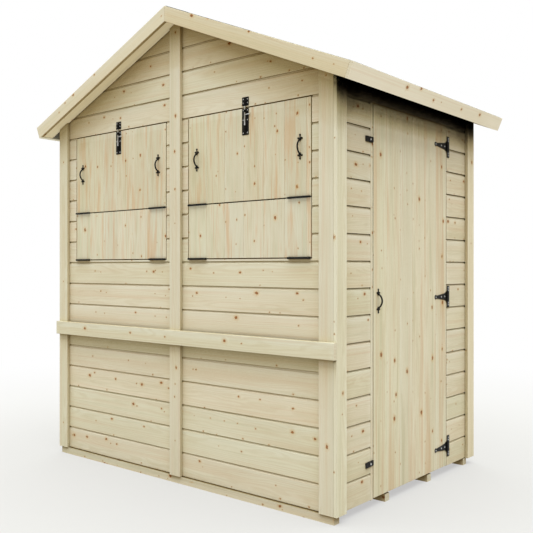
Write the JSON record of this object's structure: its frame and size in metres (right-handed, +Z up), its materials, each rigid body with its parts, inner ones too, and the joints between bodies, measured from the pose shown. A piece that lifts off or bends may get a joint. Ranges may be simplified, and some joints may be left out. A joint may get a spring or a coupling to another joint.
{
  "type": "shed",
  "caption": "Small apex garden bar shed in pale shiplap boards, with two fold-down serving hatches on its gable front and a boarded door in one side",
  "frame": {"origin": "on the ground, under the middle of the roof", "axes": "+X to the right along the serving front, +Y from the front to the back, +Z up"},
  "size_m": [2.0724, 1.393, 2.2162],
  "materials": {
    "cladding_softwood": "planed, pressure treated",
    "trim_softwood": "planed, pressure treated",
    "leaf_softwood": "planed, pressure treated",
    "framing_softwood": "sawn",
    "sheet_board": "pressed strand board",
    "coated_roof_board": "black bitumen coat on strand board",
    "mineral_felt": "mineral grit on bitumen",
    "black_ironmongery": "black powder coat"
  },
  "bodies": {
    "shed": {"floor_bearers": "framing_softwood", "floor_sheet": "sheet_board", "front_wall_lower": "cladding_softwood", "front_wall_piers": "cladding_softwood", "front_gable": "cladding_softwood", "left_wall": "cladding_softwood", "back_wall": "cladding_softwood", "right_wall_beside_door": "cladding_softwood", "right_wall_over_door": "cladding_softwood", "gable_wall_studs": "framing_softwood", "gable_wall_rails": "framing_softwood", "side_wall_studs": "framing_softwood", "side_wall_rails": "framing_softwood", "front_battens": "trim_softwood", "back_battens": "trim_softwood", "side_battens": "trim_softwood", "bar_ledge": "trim_softwood", "roof_deck": "coated_roof_board", "roof_felt_left": "mineral_felt", "roof_felt_right": "mineral_felt", "roof_end_bars": "framing_softwood", "roof_purlins": "framing_softwood", "bargeboards": "trim_softwood", "eave_fascias": "trim_softwood", "sill_hinges": "black_ironmongery", "hasp_plates": "black_ironmongery", "door_hinge_plates": "black_ironmongery", "turn_buttons": "black_ironmongery"},
    "left_flap": {"left_flap": "leaf_softwood", "left_flap_hinges": "black_ironmongery"},
    "left_upper": {"left_upper_leaf": "leaf_softwood", "left_upper_hinges": "black_ironmongery", "left_hasp": "black_ironmongery", "left_pulls": "black_ironmongery"},
    "right_flap": {"right_flap": "leaf_softwood", "right_flap_hinges": "black_ironmongery"},
    "right_upper": {"right_upper_leaf": "leaf_softwood", "right_upper_hinges": "black_ironmongery", "right_hasp": "black_ironmongery", "right_pulls": "black_ironmongery"},
    "door": {"door_boards": "leaf_softwood", "door_ledges": "framing_softwood", "door_hinge_straps": "black_ironmongery", "door_pull": "black_ironmongery"}
  },
  "joints": [
    {"name": "left_sill_hinge", "type": "hinge", "parent": "shed", "child": "left_flap", "pos_m": [-0.4285, -0.621, 1.046], "axis": [1, 0, 0], "range_deg": [0, 90]},
    {"name": "left_fold_hinge", "type": "hinge", "parent": "left_flap", "child": "left_upper", "pos_m": [-0.4285, -0.621, 1.293], "axis": [1, 0, 0], "range_deg": [0, 118]},
    {"name": "right_sill_hinge", "type": "hinge", "parent": "shed", "child": "right_flap", "pos_m": [0.4285, -0.621, 1.046], "axis": [1, 0, 0], "range_deg": [0, 90]},
    {"name": "right_fold_hinge", "type": "hinge", "parent": "right_flap", "child": "right_upper", "pos_m": [0.4285, -0.621, 1.293], "axis": [1, 0, 0], "range_deg": [0, 118]},
    {"name": "door_hinge", "type": "hinge", "parent": "shed", "child": "door", "pos_m": [0.9045, 0.334, 0.865], "axis": [0, 0, 1], "range_deg": [0, 170]}
  ]
}
